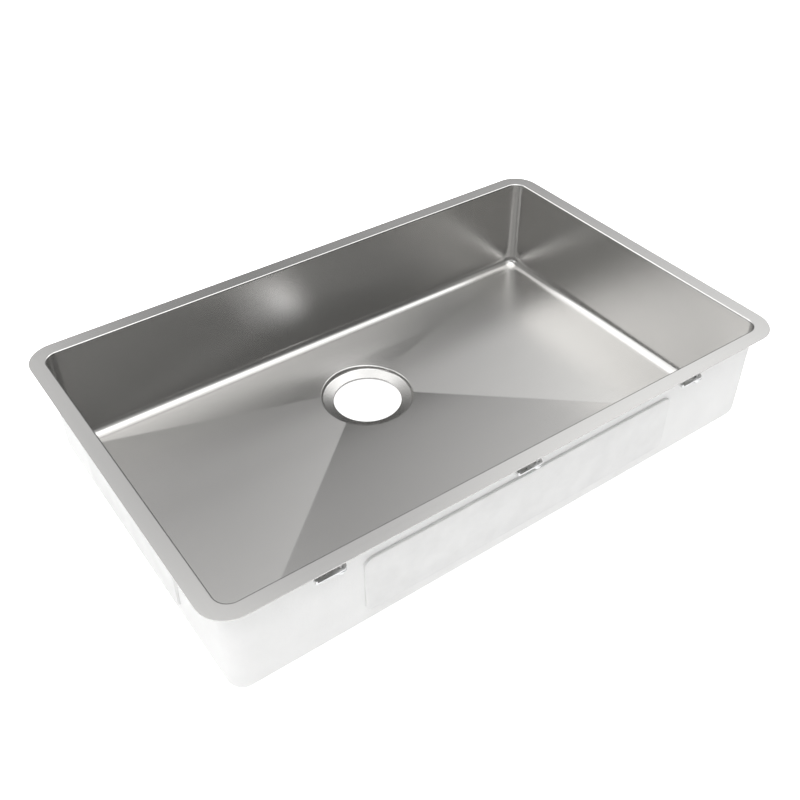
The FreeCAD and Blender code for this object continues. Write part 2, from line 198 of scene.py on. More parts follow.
# ------------------------------------------------------------------ rim strip with its bend
def build_rim():
    m = Mesh()
    e = 0.35  # broken edge of the sheet
    inner = {}

    def ring(off):
        key = round(off, 6)
        if key not in inner:
            inner[key] = bowl_ring(off)
        return inner[key]

    outer = {}

    def oring(inset):
        key = round(inset, 6)
        if key not in outer:
            outer[key] = rim_ring(inset)
        return outer[key]

    top_edge = [(oring(e - e * math.cos(a)), -e + e * math.sin(a), math.cos(a), math.sin(a)) for a in (0, math.pi / 6, math.pi / 3, math.pi / 2)]
    low_edge = [(oring(e - e * math.cos(a)), -GAUGE + e - e * math.sin(a), math.cos(a), -math.sin(a)) for a in (math.pi / 2, math.pi / 3, math.pi / 6, 0)]
    flat = [(oring(e), 0.0, 0, 1), (oring(4.0), 0.0, 0, 1), (oring(9.5), 0.0, 0, 1), (ring(BEND), 0.0, 0, 1)]
    bend = []
    for k in range(9):
        a = math.radians(90 + 90 * k / 8)
        bend.append((ring(BEND + BEND * math.cos(a)), -BEND + BEND * math.sin(a), math.cos(a), math.sin(a)))
    leg = [(ring(0.0), -BEND, -1, 0), (ring(0.0), -SEAM, -1, 0)]
    foot = [(ring(0.0), -SEAM, 0, -1), (ring(GAUGE), -SEAM, 0, -1)]
    back = [(ring(GAUGE), -SEAM, 1, 0), (ring(GAUGE), -BEND, 1, 0)]
    r2 = BEND - GAUGE
    under_bend = []
    for k in range(7):
        a = math.radians(180 - 90 * k / 6)
        under_bend.append((ring(BEND + r2 * math.cos(a)), -BEND + r2 * math.sin(a), -math.cos(a), -math.sin(a)))
    under = [(ring(BEND), -GAUGE, 0, -1), (oring(9.5), -GAUGE, 0, -1), (oring(4.0), -GAUGE, 0, -1), (oring(e), -GAUGE, 0, -1)]
    side = [(oring(0.0), -GAUGE + e, 1, 0), (oring(0.0), -e, 1, 0)]
    sweep(m, [top_edge, flat, bend, leg, foot, back, under_bend, under, low_edge, side], True)
    return m


rim = build_rim().make("bowl_rim", "steel", "bowl", "rim_front", "rim_back", "rim_left", "rim_right")


# ------------------------------------------------------------------ wall band
def build_walls():
    m = Mesh()
    a, b = bowl_ring(0.0), bowl_ring(GAUGE)
    zs = spread(-SEAM, TANGENT, 14)
    sweep(
        m,
        [
            [(a, z, -1, 0) for z in zs],
            [(a, TANGENT, 0, -1), (b, TANGENT, 0, -1)],
            [(b, z, 1, 0) for z in zs[::-1]],
            [(b, -SEAM, 0, 1), (a, -SEAM, 0, 1)],
        ],
        True,
    )
    return m


walls = build_walls().make("bowl_walls", "steel", "bowl", "wall_front", "wall_back", "wall_left", "wall_right")


# ------------------------------------------------------------------ creased floor with cove and drain recess
ax, ay, az = APEX
FALL = FLOOR - az
PLANES = {  # slope of each facet: z = az + gx (x - ax) + gy (y - ay)
    "front": (0.0, -FALL / (ay - CREASE_FRONT)),
    "back": (0.0, FALL / (CY - ay)),
    "left": (-FALL / CX, 0.0),
    "right": (FALL / CX, 0.0),
}


def floor_z(x, y):
    u, v = x - ax, y - ay
    return az + max(abs(u) / CX * FALL, -v / (ay - CREASE_FRONT) * FALL, v / (CY - ay) * FALL)


CURL = {"left": 0.0112, "right": 0.0045}
LEAN = {"front": 4.0, "left": 3.2, "right": 3.2}  # the pressed facets bow a little, so they catch the light as if they were steeper


def facet_lean(k, x, y):
    """Slope that facet k shows at (x, y). The sheet curls up towards the back wall, and a soft ridge runs
    from there to the back of the drain."""
    gx, gy = PLANES[k]
    rise = PLANES["back"][1]
    if k == "back":
        gain = 2.35 - 0.35 * min(max((x - 80.0) / 100.0, 0.0), 1.0)
        curl = gain * min(max((y - 135.0) / 60.0, 0.0), 1.15)
        curl += 0.35 * min(max((x - 30.0) / 50.0, 0.0), 1.0) * min(max((165.0 - y) / 20.0, 0.0), 1.0)
        far = max(y - 150.0, 0.0)
        wide = 24.0 + 1.2 * far if x < 0 else min(42.0 + 3.5 * far, 78.0)
        curl += max(2.55 - 0.010 * (195.0 - y) - curl, 0.0) * math.exp(-0.5 * (x / wide) ** 2)
        return (0.0, rise * curl)
    if k == "front":
        return (gx * LEAN[k], gy * LEAN[k])
    return (gx * LEAN[k], rise * CURL[k] * max(y - 45.0, 0.0))


def floor_normal(x, y, soft=1.6):
    """Facet normal, blended across a crease over its pressed radius."""
    u, v = x - ax, y - ay
    heights = {k: g[0] * u + g[1] * v for k, g in PLANES.items()}
    n = Vector((0, 0, 0))
    for k, g in PLANES.items():
        other = max(((PLANES[j], heights[j]) for j in PLANES if j != k), key=lambda t: t[1])
        tilt = math.hypot(g[0] - other[0][0], g[1] - other[0][1])
        d = (heights[k] - other[1]) / tilt  # signed distance to the crease
        w = min(max(0.5 + d / (2 * soft), 0.0), 1.0)
        w = w * w * (3 - 2 * w)
        if w > 0:
            lx, ly = facet_lean(k, x, y)
            n += w * Vector((-lx, -ly, 1.0)).normalized()
    n.normalize()
    return tuple(n)


def build_floor():
    m = Mesh()
    foot = path(KX, KY, CORNER - COVE, NC, XS, YS)
    count = len(foot)
    # rays from the apex: one for each distinct foot point
    ray_of, rays = [], []
    for p in foot:
        if rays and math.hypot(rays[-1][0] - p[0], rays[-1][1] - p[1]) < 1e-9:
            ray_of.append(len(rays) - 1)
        elif rays and math.hypot(rays[0][0] - p[0], rays[0][1] - p[1]) < 1e-9:
            ray_of.append(0)
        else:
            ray_of.append(len(rays))
            rays.append((p[0], p[1]))

    # cove rows from the wall down to the foot
    steps = 14
    rows = []
    for k in range(steps):
        a = math.radians(90.0 * k / steps)
        ring = path(KX, KY, CORNER - COVE + COVE * math.cos(a), NC, XS, YS)
        z = TANGENT - COVE * math.sin(a)
        rows.append((ring, z, a))

    def cove_rows(off):
        ids = []
        for ring, z, a in rows:
            ids.append([m.add((p[0] + off * p[2] * math.cos(a), p[1] + off * p[3] * math.cos(a), z - off * math.sin(a))) for p in ring])
        return ids

    def cove_normal(i, k):
        a = rows[k][2]
        p = rows[k][0][i]
        tilt = 90.0 - math.degrees(a)
        if p[3] > 0.0 and tilt < 90.0:  # towards the back the cove opens out a little where it meets the sheet
            lo, hi, f, g = (0.0, 8.0, 10.0, 12.0) if tilt < 8.0 else (8.0, 30.0, 12.0, 26.5) if tilt < 30.0 else (30.0, 90.0, 26.5, 90.0)
            tilt += p[3] ** 2 * (f + (g - f) * (tilt - lo) / (hi - lo) - tilt)
        a = math.radians(90.0 - tilt)
        n = floor_normal(foot[i][0], foot[i][1])
        if -p[2] * n[0] - p[3] * n[1] > math.cos(a):  # the foot of the cove runs out into the leaning sheet
            return n
        return (-p[2] * math.cos(a), -p[3] * math.cos(a), math.sin(a))

    # floor rows along rays from the apex: foot -> ring edge
    fr = []
    n_r = 26
    for k in range(n_r + 1):
        t = k / n_r
        fr.append(t - 0.55 * math.sin(2 * math.pi * t) / (2 * math.pi))

    def ring_hit(ux, uy, radius):
        # from the apex along (ux, uy) to the circle round the drain centre
        cx, cy = ax, ay - DRAIN_Y
        b = cx * ux + cy * uy
        c = cx * cx + cy * cy - radius * radius
        return -b + math.sqrt(b * b - c)

    EDGE = 1.7  # rounded top edge of the recess
    r_start = RING_R + EDGE

    dirs = []
    for x, y in rays:
        d = math.hypot(x - ax, y - ay)
        dirs.append(((x - ax) / d, (y - ay) / d, d))

    def floor_rows(off):
        ids = []
        for t in fr:
            row = []
            for ux, uy, d in dirs:
                s1 = ring_hit(ux, uy, r_start)
                s = d + (s1 - d) * t
                x, y = ax + ux * s, ay + uy * s
                row.append(m.add((x, y, floor_z(x, y) - off)))
            ids.append(row)
        return ids

    def floor_norms():
        out = []
        for t in fr:
            row = []
            for ux, uy, d in dirs:
                s1 = ring_hit(ux, uy, r_start)
                s = d + (s1 - d) * t
                row.append(floor_normal(ax + ux * s, ay + uy * s))
            out.append(row)
        return out

    # recess section below the floor's edge: (radius, z, normal r, normal z); z None = relative to the floor edge
    angles = []
    for ux, uy, d in dirs:
        s1 = ring_hit(ux, uy, r_start)
        x, y = ax + ux * s1, ay + uy * s1
        angles.append((math.atan2(y - DRAIN_Y, x), floor_z(x, y)))

    def section(z_top, off):
        """Outline from the floor's edge to the bottom of the lip, pushed down and out by off."""
        pts = []
        for k in range(1, 7):
            a = math.radians(90 + 90 * k / 6)
            nr, nz = math.cos(a), math.sin(a)
            pts.append((RING_R + EDGE + EDGE * nr, z_top - EDGE + EDGE * nz, nr, nz, 0))
        # foot of the step turns into the dish
        slope = math.atan2(DISH_Z - LIP_TOP, DISH_R - HOLE_R)
        dn = (-math.sin(slope), math.cos(slope))
        R = 2.4
        # centre of the fillet between the upright step and the dish, whose normal is dn
        cxr = RING_R - R
        czr = (DISH_Z + (cxr - DISH_R) * math.tan(slope)) + R / math.cos(slope)
        for k in range(0, 6):
            a = math.radians(0 - (90 - math.degrees(slope)) * k / 5)
            pts.append((cxr + R * math.cos(a), czr + R * math.sin(a), -math.cos(a), -math.sin(a), 1))
        r0, z0 = pts[-1][0], pts[-1][1]
        E = 0.8
        # rounded top of the lip
        cr = HOLE_R + E
        cz = (DISH_Z + (cr - DISH_R) * math.tan(slope)) - E / math.cos(slope)
        a_start = 90 + math.degrees(slope)
        r1, z1 = cr + E * math.cos(math.radians(a_start)), cz + E * math.sin(math.radians(a_start))
        for t in (0.25, 0.5, 0.75):
            pts.append((r0 + (r1 - r0) * t, z0 + (z1 - z0) * t, dn[0], dn[1], 2))
        for k in range(0, 6):
            a = math.radians(a_start + (180 - a_start) * k / 5)
            pts.append((cr + E * math.cos(a), cz + E * math.sin(a), math.cos(a), math.sin(a), 3))
        pts.append((HOLE_R, LIP_LOW, -1, 0, 4))
        if off:
            pts = [(r - off * nr, max(z - off * nz, LIP_LOW), nr, nz, s) for r, z, nr, nz, s in pts]
        return pts

    n_sec = len(section(FLOOR, 0))

    def recess_rows(off):
        ids = [[] for _ in range(n_sec)]
        for th, zt in angles:
            for k, (r, z, nr, nz, s) in enumerate(section(zt, off)):
                ids[k].append(m.add((r * math.cos(th), DRAIN_Y + r * math.sin(th), z)))
        return ids

    rec_n = [[] for _ in range(n_sec)]
    for th, zt in angles:
        for k, (r, z, nr, nz, s) in enumerate(section(zt, 0)):
            rec_n[k].append((nr * math.cos(th), nr * math.sin(th), nz))

    def side(off, flip):
        c, f, g = cove_rows(off), floor_rows(off), recess_rows(off)
        fn = floor_norms()
        sgn = -1.0 if flip else 1.0

        def quad(ids, ns):
            ns = [(sgn * n[0], sgn * n[1], sgn * n[2]) for n in ns]
            if flip:
                ids, ns = ids[::-1], ns[::-1]
            m.face(ids, ns)

        for k in range(steps):
            for i in range(count):
                j = (i + 1) % count
                if k < steps - 1:
                    quad([c[k][i], c[k][j], c[k + 1][j], c[k + 1][i]], [cove_normal(i, k), cove_normal(j, k), cove_normal(j, k + 1), cove_normal(i, k + 1)])
                else:
                    quad([c[k][i], c[k][j], f[0][ray_of[j]], f[0][ray_of[i]]], [cove_normal(i, k), cove_normal(j, k), (0, 0, 1), (0, 0, 1)])
        R = len(rays)
        for k in range(len(fr) - 1):
            for i in range(R):
                j = (i + 1) % R
                quad([f[k][i], f[k][j], f[k + 1][j], f[k + 1][i]], [fn[k][i], fn[k][j], fn[k + 1][j], fn[k + 1][i]])
        last, ln = f[-1], fn[-1]
        for k in range(n_sec):
            for i in range(R):
                j = (i + 1) % R
                if k == 0:
                    quad([last[i], last[j], g[0][j], g[0][i]], [ln[i], ln[j], rec_n[0][j], rec_n[0][i]])
                else:
                    quad([g[k - 1][i], g[k - 1][j], g[k][j], g[k][i]], [rec_n[k - 1][i], rec_n[k - 1][j], rec_n[k][j], rec_n[k][i]])
        return c, f, g

    top = side(0.0, False)
    low = side(GAUGE, True)
    up = (0, 0, 1)
    for i in range(count):
        j = (i + 1) % count
        m.face([top[0][0][j], top[0][0][i], low[0][0][i], low[0][0][j]], [up] * 4)
    R = len(rays)
    down = (0, 0, -1)
    for i in range(R):
        j = (i + 1) % R
        m.face([top[2][-1][i], top[2][-1][j], low[2][-1][j], low[2][-1][i]], [down] * 4)
    return m


floor = build_floor().make(
    "bowl_floor", "steel", "bowl", "cove_front", "cove_back", "cove_left", "cove_right", "floor_plate"
)


# ------------------------------------------------------------------ sprayed coat on the outside
def wobble(x, y, z, scale, seed):
    """A smooth value between -1 and 1 that wanders over a distance of about scale (mm)."""
    v = 0.0
    for k, (a, b, c) in enumerate(((1.0, 0.37, 0.61), (-0.53, 1.13, 0.29), (0.71, -0.83, 1.21))):
        v += math.sin((a * x + b * y + c * z) * 2 * math.pi / scale + seed * 1.7 + 2.1 * k)
    return v / 3.0


COAT = 0.8
COAT_TOP = -16.0
COAT_HOLE = 76.0


def build_coat():
    """Skin on the outside of walls, cove and floor, thin and uneven along its two free edges."""
    m = Mesh()
    xs, ys, nc = spread(-1, 1, 36, 0.5), spread(-1, 1, 24, 0.5), 8
    ring = path(KX, KY, 1.0, nc, xs, ys)
    count = len(ring)
    ease = CORNER - COVE
    zs = [COAT_TOP, COAT_TOP - 0.5, COAT_TOP - 1.6, COAT_TOP - 4.0, COAT_TOP - 9.0] + spread(COAT_TOP - 20.0, TANGENT, 8)
    thick = [0.12, 0.35, 0.6, 0.76, 0.8] + [0.8] * 9

    base_in = GAUGE - 0.06
    ray_of, rays = [], []
    for p in ring:
        fx, fy = p[0] + p[2] * (ease - 1.0), p[1] + p[3] * (ease - 1.0)
        hit = [k for k, q in enumerate(rays) if math.hypot(q[0] - fx, q[1] - fy) < 1e-9]
        if hit:
            ray_of.append(hit[0])
        else:
            ray_of.append(len(rays))
            rays.append((fx, fy))

    def wall_point(i, z, off):
        p = ring[i]
        fx, fy = p[0] - p[2], p[1] - p[3]
        r = CORNER + off
        return (fx + p[2] * r, fy + p[3] * r, z)

    def shell(thicks, inside):
        rows = []
        for z, t in zip(zs, thicks):
            row = []
            for i in range(count):
                p = ring[i]
                free = max(0.0, 1.0 - (COAT_TOP - z) / 8.0)
                dz = free * (0.55 + 0.55 * wobble(p[0], p[1], 0, 46.0, 3)) * -1.6
                row.append(m.add(wall_point(i, min(z + dz, COAT_TOP), base_in if inside else GAUGE + t)))
            rows.append(row)
        off = base_in if inside else GAUGE + COAT
        for k in range(1, 8):
            a = math.radians(90.0 * k / 8)
            r = (COVE + off) * math.cos(a) + ease
            row = []
            for i in range(count):
                p = ring[i]
                fx, fy = p[0] - p[2], p[1] - p[3]
                row.append(m.add((fx + p[2] * r, fy + p[3] * r, TANGENT - (COVE + off) * math.sin(a))))
            rows.append(row)
        return rows

    def belly(inside):
        rows = []
        fr = [0.0, 0.04, 0.12, 0.25, 0.4, 0.55, 0.7, 0.82, 0.91, 0.965, 0.985, 0.995, 1.0]
        th = [0.8] * 9 + [0.78, 0.62, 0.36, 0.12]
        for t, c in zip(fr, th):
            row = []
            for k, (x, y) in enumerate(rays):
                d = math.hypot(x - ax, y - ay)
                ux, uy = (x - ax) / d, (y - ay) / d
                rr = COAT_HOLE + 1.2 * wobble(x, y, 0, 170.0, 5) * 0.5 + 0.9
                b = uy * (ay - DRAIN_Y)
                s1 = -b + math.sqrt(b * b - (ay - DRAIN_Y) ** 2 + rr * rr)
                q = d + (s1 - d) * t
                px, py = ax + ux * q, ay + uy * q
                row.append(m.add((px, py, floor_z(px, py) - (base_in if inside else GAUGE + c))))
            rows.append(row)
        return rows

    for inside in (False, True):
        w, b = shell(thick, inside), belly(inside)

        def quad(ids):
            m.face(ids if inside else ids[::-1])

        for k in range(len(w) - 1):
            for i in range(count):
                j = (i + 1) % count
                quad([w[k][i], w[k][j], w[k + 1][j], w[k + 1][i]])
        for i in range(count):
            j = (i + 1) % count
            quad([w[-1][i], w[-1][j], b[0][ray_of[j]], b[0][ray_of[i]]])
        n = len(rays)
        for k in range(len(b) - 1):
            for i in range(n):
                j = (i + 1) % n
                quad([b[k][i], b[k][j], b[k + 1][j], b[k + 1][i]])
        if inside:
            for i in range(count):
                j = (i + 1) % count
                m.face([w[0][i], first[0][i], first[0][j], w[0][j]][::-1])
            for i in range(n):
                j = (i + 1) % n
                m.face([b[-1][i], first[1][i], first[1][j], b[-1][j]])
        else:
            first = (w[0], b[-1])
    return m


coat = build_coat().make("undercoat_skin", "undercoat", "bowl", "undercoat", soften=50)


# ------------------------------------------------------------------ glued sound pads
def build_pad(length, height, to_world, corner=9.0, thick=3.0, edge=0.9):
    """A die-cut slab with round corners and a soft outer edge; to_world(u, v, w) places it, w outwards."""
    m = Mesh()
    hu, hv = length / 2, height / 2
    xs, ys = spread(-1, 1, 20), spread(-1, 1, 8)

    def ring(inset, w):
        pts = path(hu - corner, hv - corner, corner - inset, 6, xs, ys)
        return [m.add(to_world(p[0], p[1], w)) for p in pts]

    rows = [ring(0.0, -0.12), ring(0.0, thick - edge)]
    for k in range(1, 5):
        a = math.radians(90 * k / 4)
        rows.append(ring(edge - edge * math.cos(a), thick - edge + edge * math.sin(a)))
    rows.append(ring(4.0, thick))
    n = len(rows[0])
    for k in range(len(rows) - 1):
        for i in range(n):
            j = (i + 1) % n
            m.face([rows[k][i], rows[k][j], rows[k + 1][j], rows[k + 1][i]])
    m.face(rows[-1])
    m.face(rows[0][::-1])
    return m


PADS = []
side_z = -72.0
wall_at = BOWL_Y + GAUGE + COAT
end_at = BOWL_X + GAUGE + COAT
for name, length, place in (
    ("pad_front", 420.0, lambda u, v, w: (u, -wall_at - w, side_z + v)),
    ("pad_back", 420.0, lambda u, v, w: (-u, wall_at + w, side_z + v)),
    ("pad_left", 220.0, lambda u, v, w: (-end_at - w, -u, side_z + v)),
    ("pad_right", 220.0, lambda u, v, w: (end_at + w, u, side_z + v)),
):
    PADS.append(build_pad(length, 76.0, place).make(name + "_slab", "sound_pad", "bowl", name, soften=40))
for name, x0, x1, y0, y1 in (
    ("pad_floor_front", -150, 150, -178, -66),
    ("pad_floor_back", -190, 190, 168, 196),
    ("pad_floor_left", -312, -200, -60, 140),
    ("pad_floor_right", 200, 312, -60, 140),
):
    mx, my = (x0 + x1) / 2, (y0 + y1) / 2

    def place(u, v, w, mx=mx, my=my):
        return (mx + u, my - v, floor_z(mx + u, my - v) - GAUGE - COAT - w)

    PADS.append(build_pad(x1 - x0, y1 - y0, place).make(name + "_slab", "sound_pad", "bowl", name, soften=40))


# ------------------------------------------------------------------ weld studs and hold-down clamps
STATIONS = [(-240.0, -228.5, 180), (0.0, -228.5, 180), (240.0, -228.5, 180), (-240.0, 228.5, 0), (0.0, 228.5, 0), (240.0, 228.5, 0), (-366.5, 0.0, 90), (366.5, 0.0, -90)]


def turned(m, x, y, rows, n=24, close=False):
    """Rows of (radius or function of angle, z or function of angle) turned about an upright axis."""
    ids = []
    for r, z in rows:
        row = []
        for i in range(n):
            a = 2 * math.pi * i / n
            rr = r(a) if callable(r) else r
            zz = z(a) if callable(z) else z
            row.append(m.add((x + rr * math.cos(a), y + rr * math.sin(a), zz)))
        ids.append(row)
    pairs = [(k, k + 1) for k in range(len(ids) - 1)]
    if close:
        pairs.append((len(ids) - 1, 0))
    for a, b in pairs:
        for i in range(n):
            j = (i + 1) % n
            m.face([ids[a][i], ids[b][i], ids[b][j], ids[a][j]])
    if not close:
        m.face(ids[0][::-1][::-1])
        m.face(ids[-1][::-1])
    return ids


def build_studs():
    m = Mesh()
    pitch, low, high = 0.8, -22.6, -2.6
    for x, y, yaw in STATIONS:
        rows = [(3.6, -1.15), (3.55, -1.35), (3.1, -1.75), (2.7, -2.05), (2.45, -2.2), (2.3, -2.45)]
        n = int((high - low) / (pitch / 6))
        for k in range(n + 1):
            z = high + (low - high) * k / n
            fade = min(1.0, (high - z) / 0.6, (z - low) / 0.5)

            def radius(a, z=z, fade=fade):
                t = (z / pitch - a / (2 * math.pi)) % 1.0
                tri = 1.0 - abs(2.0 * t - 1.0)
                return 2.3 + fade * (min(max(0.12 + tri * 0.95, 0.0), 1.0) * 0.43 + 2.06 - 2.3)

            rows.append((radius, z))
        rows += [(2.25, -22.75), (2.0, -23.2)]
        turned(m, x, y, rows, 18)
    return m


studs = build_studs().make("weld_stud_threads", "stud", "bowl", "weld_studs", soften=50)


def build_washer(x, y):
    m = Mesh()
    r0, r1, lo, hi, e = 2.6, 5.0, -16.0, -15.0, 0.16
    rows = [(r0 + e, lo), (r1 - e, lo), (r1 - e * 0.3, lo + e * 0.3), (r1, lo + e), (r1, hi - e), (r1 - e * 0.3, hi - e * 0.3), (r1 - e, hi), (r0 + e, hi), (r0, hi - e), (r0, lo + e)]
    turned(m, x, y, rows[::-1], 40, True)
    return m


def build_nut(x, y):
    """Hexagon flange nut: flange against the washer, chamfered hexagon below."""
    m = Mesh()
    top, low, flats = -16.0, -20.7, 4.0

    def hexagon(a):
        return flats / math.cos((a + math.pi / 6) % (math.pi / 3) - math.pi / 6)

    def soft_hex(a):
        return min(hexagon(a), 4.52)

    def foot(a):
        return low + max(0.0, soft_hex(a) - 3.9) * math.tan(math.radians(30))

    rows = [
        (2.55, top - 0.35),
        (2.9, top),
        (5.5, top),
        (5.64, top - 0.08),
        (5.7, top - 0.25),
        (5.7, top - 0.6),
        (5.55, top - 0.75),
        (lambda a: max(soft_hex(a), 4.9), top - 1.02),
        (lambda a: soft_hex(a) + 0.1, top - 1.12),
        (soft_hex, top - 1.3),
        (soft_hex, top - 2.6),
        (soft_hex, lambda a: foot(a) + 0.06),
        (lambda a: soft_hex(a) - 0.07, foot),
        (3.9, low),
        (2.95, low),
        (2.55, low + 0.35),
    ]
    turned(m, x, y, rows, 60, True)
    return m


def build_toggle(x, y, yaw):
    """Stamped swivel bar with a round heel, a hole for the stud and a toe bent up at its end."""
    m = Mesh()
    w, reach, t, e = 5.5, 30.0, 2.0, 0.3
    z0 = -15.0
    c, s = math.cos(math.radians(yaw)), math.sin(math.radians(yaw))
    c, s = round(c, 12), round(s, 12)

    def at(u, v, z):
        return m.add((x + c * u - s * v, y + s * u + c * v, z0 + z))

    bar_end = 25.4
    ny = 8
    # outline from the end of the bar round the heel and back, anticlockwise
    def outline(inset):
        ww = w - inset
        pts = []
        vs = [ww * (1 - 2 * k / ny) for k in range(ny + 1)]
        pts += [(bar_end, v) for v in vs[::-1]]  # end edge from -w to +w
        for k in range(1, 9):
            pts.append((bar_end * (1 - k / 8), ww))
        for k in range(1, 16):
            a = math.pi / 2 + math.pi * k / 16
            pts.append((ww * math.cos(a), ww * math.sin(a)))
        for k in range(0, 8):
            pts.append((bar_end * k / 8, -ww))
        return pts

    n = len(outline(0))
    r0 = 2.6

    def bore(r):
        pts = []
        for u, v in outline(0):
            a = math.atan2(v, u)
            pts.append((r * math.cos(a), r * math.sin(a)))
        return pts

    levels = [
        (bore(r0), e),
        (bore(r0 + e), 0.0),
        (outline(e), 0.0),
        (outline(e * 0.3), e * 0.3),
        (outline(0), e),
        (outline(0), t - e),
        (outline(e * 0.3), t - e * 0.3),
        (outline(e), t),
        (bore(r0 + e), t),
        (bore(r0), t - e),
    ]
    ids = [[at(u, v, z) for u, v in pts] for pts, z in levels]
    for k in range(len(ids)):
        a, b = ids[k], ids[(k + 1) % len(ids)]
        for i in range(n):
            j = (i + 1) % n
            if i < ny and 2 <= k <= 6:
                continue  # open at the end of the bar, where the toe carries on
            m.face([a[i], a[j], b[j], b[i]])
    # toe: section rows from the lower end edge, round the outside, over the top and back
    rows = []
    R = 2.4
    for k in range(1, 9):
        a = math.radians(-90 + 90 * k / 8)
        rows.append((reach - R + R * math.cos(a), R + R * math.sin(a)))
    rows.append((reach, 4.7))
    for k in range(1, 5):
        a = math.radians(90 * k / 4)
        rows.append((reach - 0.5 + 0.5 * math.cos(a), 4.7 + 0.5 * math.sin(a)))
    for k in range(1, 5):
        a = math.radians(90 + 90 * k / 4)
        rows.append((reach - 1.6 + 0.5 * math.cos(a), 4.7 + 0.5 * math.sin(a)))
    rows.append((reach - 2.1, 3.2))
    R2 = 1.2
    for k in range(1, 6):
        a = math.radians(0 - 90 * k / 6)
        rows.append((reach - 2.1 - R2 + R2 * math.cos(a), t + R2 + R2 * math.sin(a)))
    grid = [[ids[2][i] for i in range(ny + 1)]]
    for u, z in rows:
        grid.append([at(u, (w - e * 0.4) * (2 * i / ny - 1), z) for i in range(ny + 1)])
    grid.append([ids[7][i] for i in range(ny + 1)])
    for k in range(len(grid) - 1):
        for i in range(ny):
            m.face([grid[k][i], grid[k][i + 1], grid[k + 1][i + 1], grid[k + 1][i]])
    for i, flip in ((0, False), (ny, True)):
        edge = [ids[k][i] for k in (2, 3, 4, 5, 6, 7)]
        loop = [g[i] for g in grid[1:-1]]
        poly = edge + loop[::-1]
        m.face(poly if not flip else poly[::-1])
    return m


CLAMPS = []
for k, (x, y, yaw) in enumerate(STATIONS):
    i = k + 1
    CLAMPS.append(build_toggle(x, y, yaw).make("toggle_%d_bar" % i, "toggle", "toggle_%d" % i, "toggle_%d" % i, soften=40))
    CLAMPS.append(build_washer(x, y).make("washer_%d_ring" % i, "washer", "washer_%d" % i, "washer_%d" % i, soften=40))
    CLAMPS.append(build_nut(x, y).make("nut_%d_hex" % i, "nut", "nut_%d" % i, "nut_%d" % i, soften=38))


# ------------------------------------------------------------------ materials
def node_tree(name):
    mat = bpy.data.materials.new(name)
    mat.use_nodes = True
    nt = mat.node_tree
    for n in list(nt.nodes):
        nt.nodes.remove(n)
    out = nt.nodes.new("ShaderNodeOutputMaterial")
    sh = nt.nodes.new("ShaderNodeBsdfPrincipled")
    nt.links.new(sh.outputs[0], out.inputs[0])
    return mat, nt, sh


class Tree:
    """Short names for the nodes that the materials below share."""

    def __init__(self, name):
        self.mat, self.nt, self.sh = node_tree(name)
        self.tc = self.nt.nodes.new("ShaderNodeTexCoord")

    def link(self, a, b):
        self.nt.links.new(a, b)

    def noise(self, scale, detail=2.0, stretch=None, rough=0.5):
        n = self.nt.nodes.new("ShaderNodeTexNoise")
        n.inputs["Scale"].default_value = scale
        n.inputs["Detail"].default_value = detail
        n.inputs["Roughness"].default_value = rough
        if stretch is None:
            self.link(self.tc.outputs["Object"], n.inputs["Vector"])
        else:
            mp = self.nt.nodes.new("ShaderNodeMapping")
            mp.inputs["Scale"].default_value = stretch
            self.link(self.tc.outputs["Object"], mp.inputs["Vector"])
            self.link(mp.outputs[0], n.inputs["Vector"])
        return n.outputs["Fac"]

    def span(self, value, low, high, lo=0.3, hi=0.7):
        r = self.nt.nodes.new("ShaderNodeMapRange")
        r.inputs["From Min"].default_value = lo
        r.inputs["From Max"].default_value = hi
        r.inputs["To Min"].default_value = low
        r.inputs["To Max"].default_value = high
        self.link(value, r.inputs["Value"])
        return r.outputs[0]

    def math(self, op, a, b):
        n = self.nt.nodes.new("ShaderNodeMath")
        n.operation = op
        for k, v in enumerate((a, b)):
            if isinstance(v, (int, float)):
                n.inputs[k].default_value = v
            else:
                self.link(v, n.inputs[k])
        return n.outputs[0]

    def mix(self, factor, a, b):
        n = self.nt.nodes.new("ShaderNodeMix")
        n.data_type = "FLOAT"
        self.link(factor, n.inputs[0])
        self.link(a, n.inputs[2])
        self.link(b, n.inputs[3])
        return n.outputs[0]

    def tint(self, colour, factor):
        n = self.nt.nodes.new("ShaderNodeVectorMath")
        n.operation = "SCALE"
        n.inputs[0].default_value = colour
        self.link(factor, n.inputs["Scale"])
        self.link(n.outputs[0], self.sh.inputs["Base Color"])

    def relief(self, height, strength, distance):
        b = self.nt.nodes.new("ShaderNodeBump")
        b.inputs["Strength"].default_value = strength
        b.inputs["Distance"].default_value = distance
        self.link(height, b.inputs["Height"])
        self.link(b.outputs[0], self.sh.inputs["Normal"])


def brushed_steel(name, colour, rough, grain):
    """Satin steel with fine brushing: streaks in tone, roughness and relief. grain says which way
    it was brushed: along the length, or along the width where the factor it returns is 1."""
    t = Tree(name)
    t.sh.inputs["Metallic"].default_value = 1.0
    turn = grain(t)
    fine = t.mix(turn, t.noise(1.0, 3.0, (7.0, 1100.0, 1100.0)), t.noise(1.0, 3.0, (1100.0, 7.0, 1100.0)))
    broad = t.mix(turn, t.noise(1.0, 2.0, (2.5, 170.0, 170.0)), t.noise(1.0, 2.0, (170.0, 2.5, 170.0)))
    cloud = t.noise(9.0)
    tone = t.math("MULTIPLY", t.span(fine, 0.985, 1.015), t.span(broad, 0.994, 1.006))
    t.tint(colour, tone)
    r = t.math("ADD", t.span(fine, rough - 0.0012, rough + 0.0012), t.span(cloud, -0.0015, 0.0015))
    t.link(r, t.sh.inputs["Roughness"])
    t.relief(fine, 0.003, 0.0001)
    return t.mat


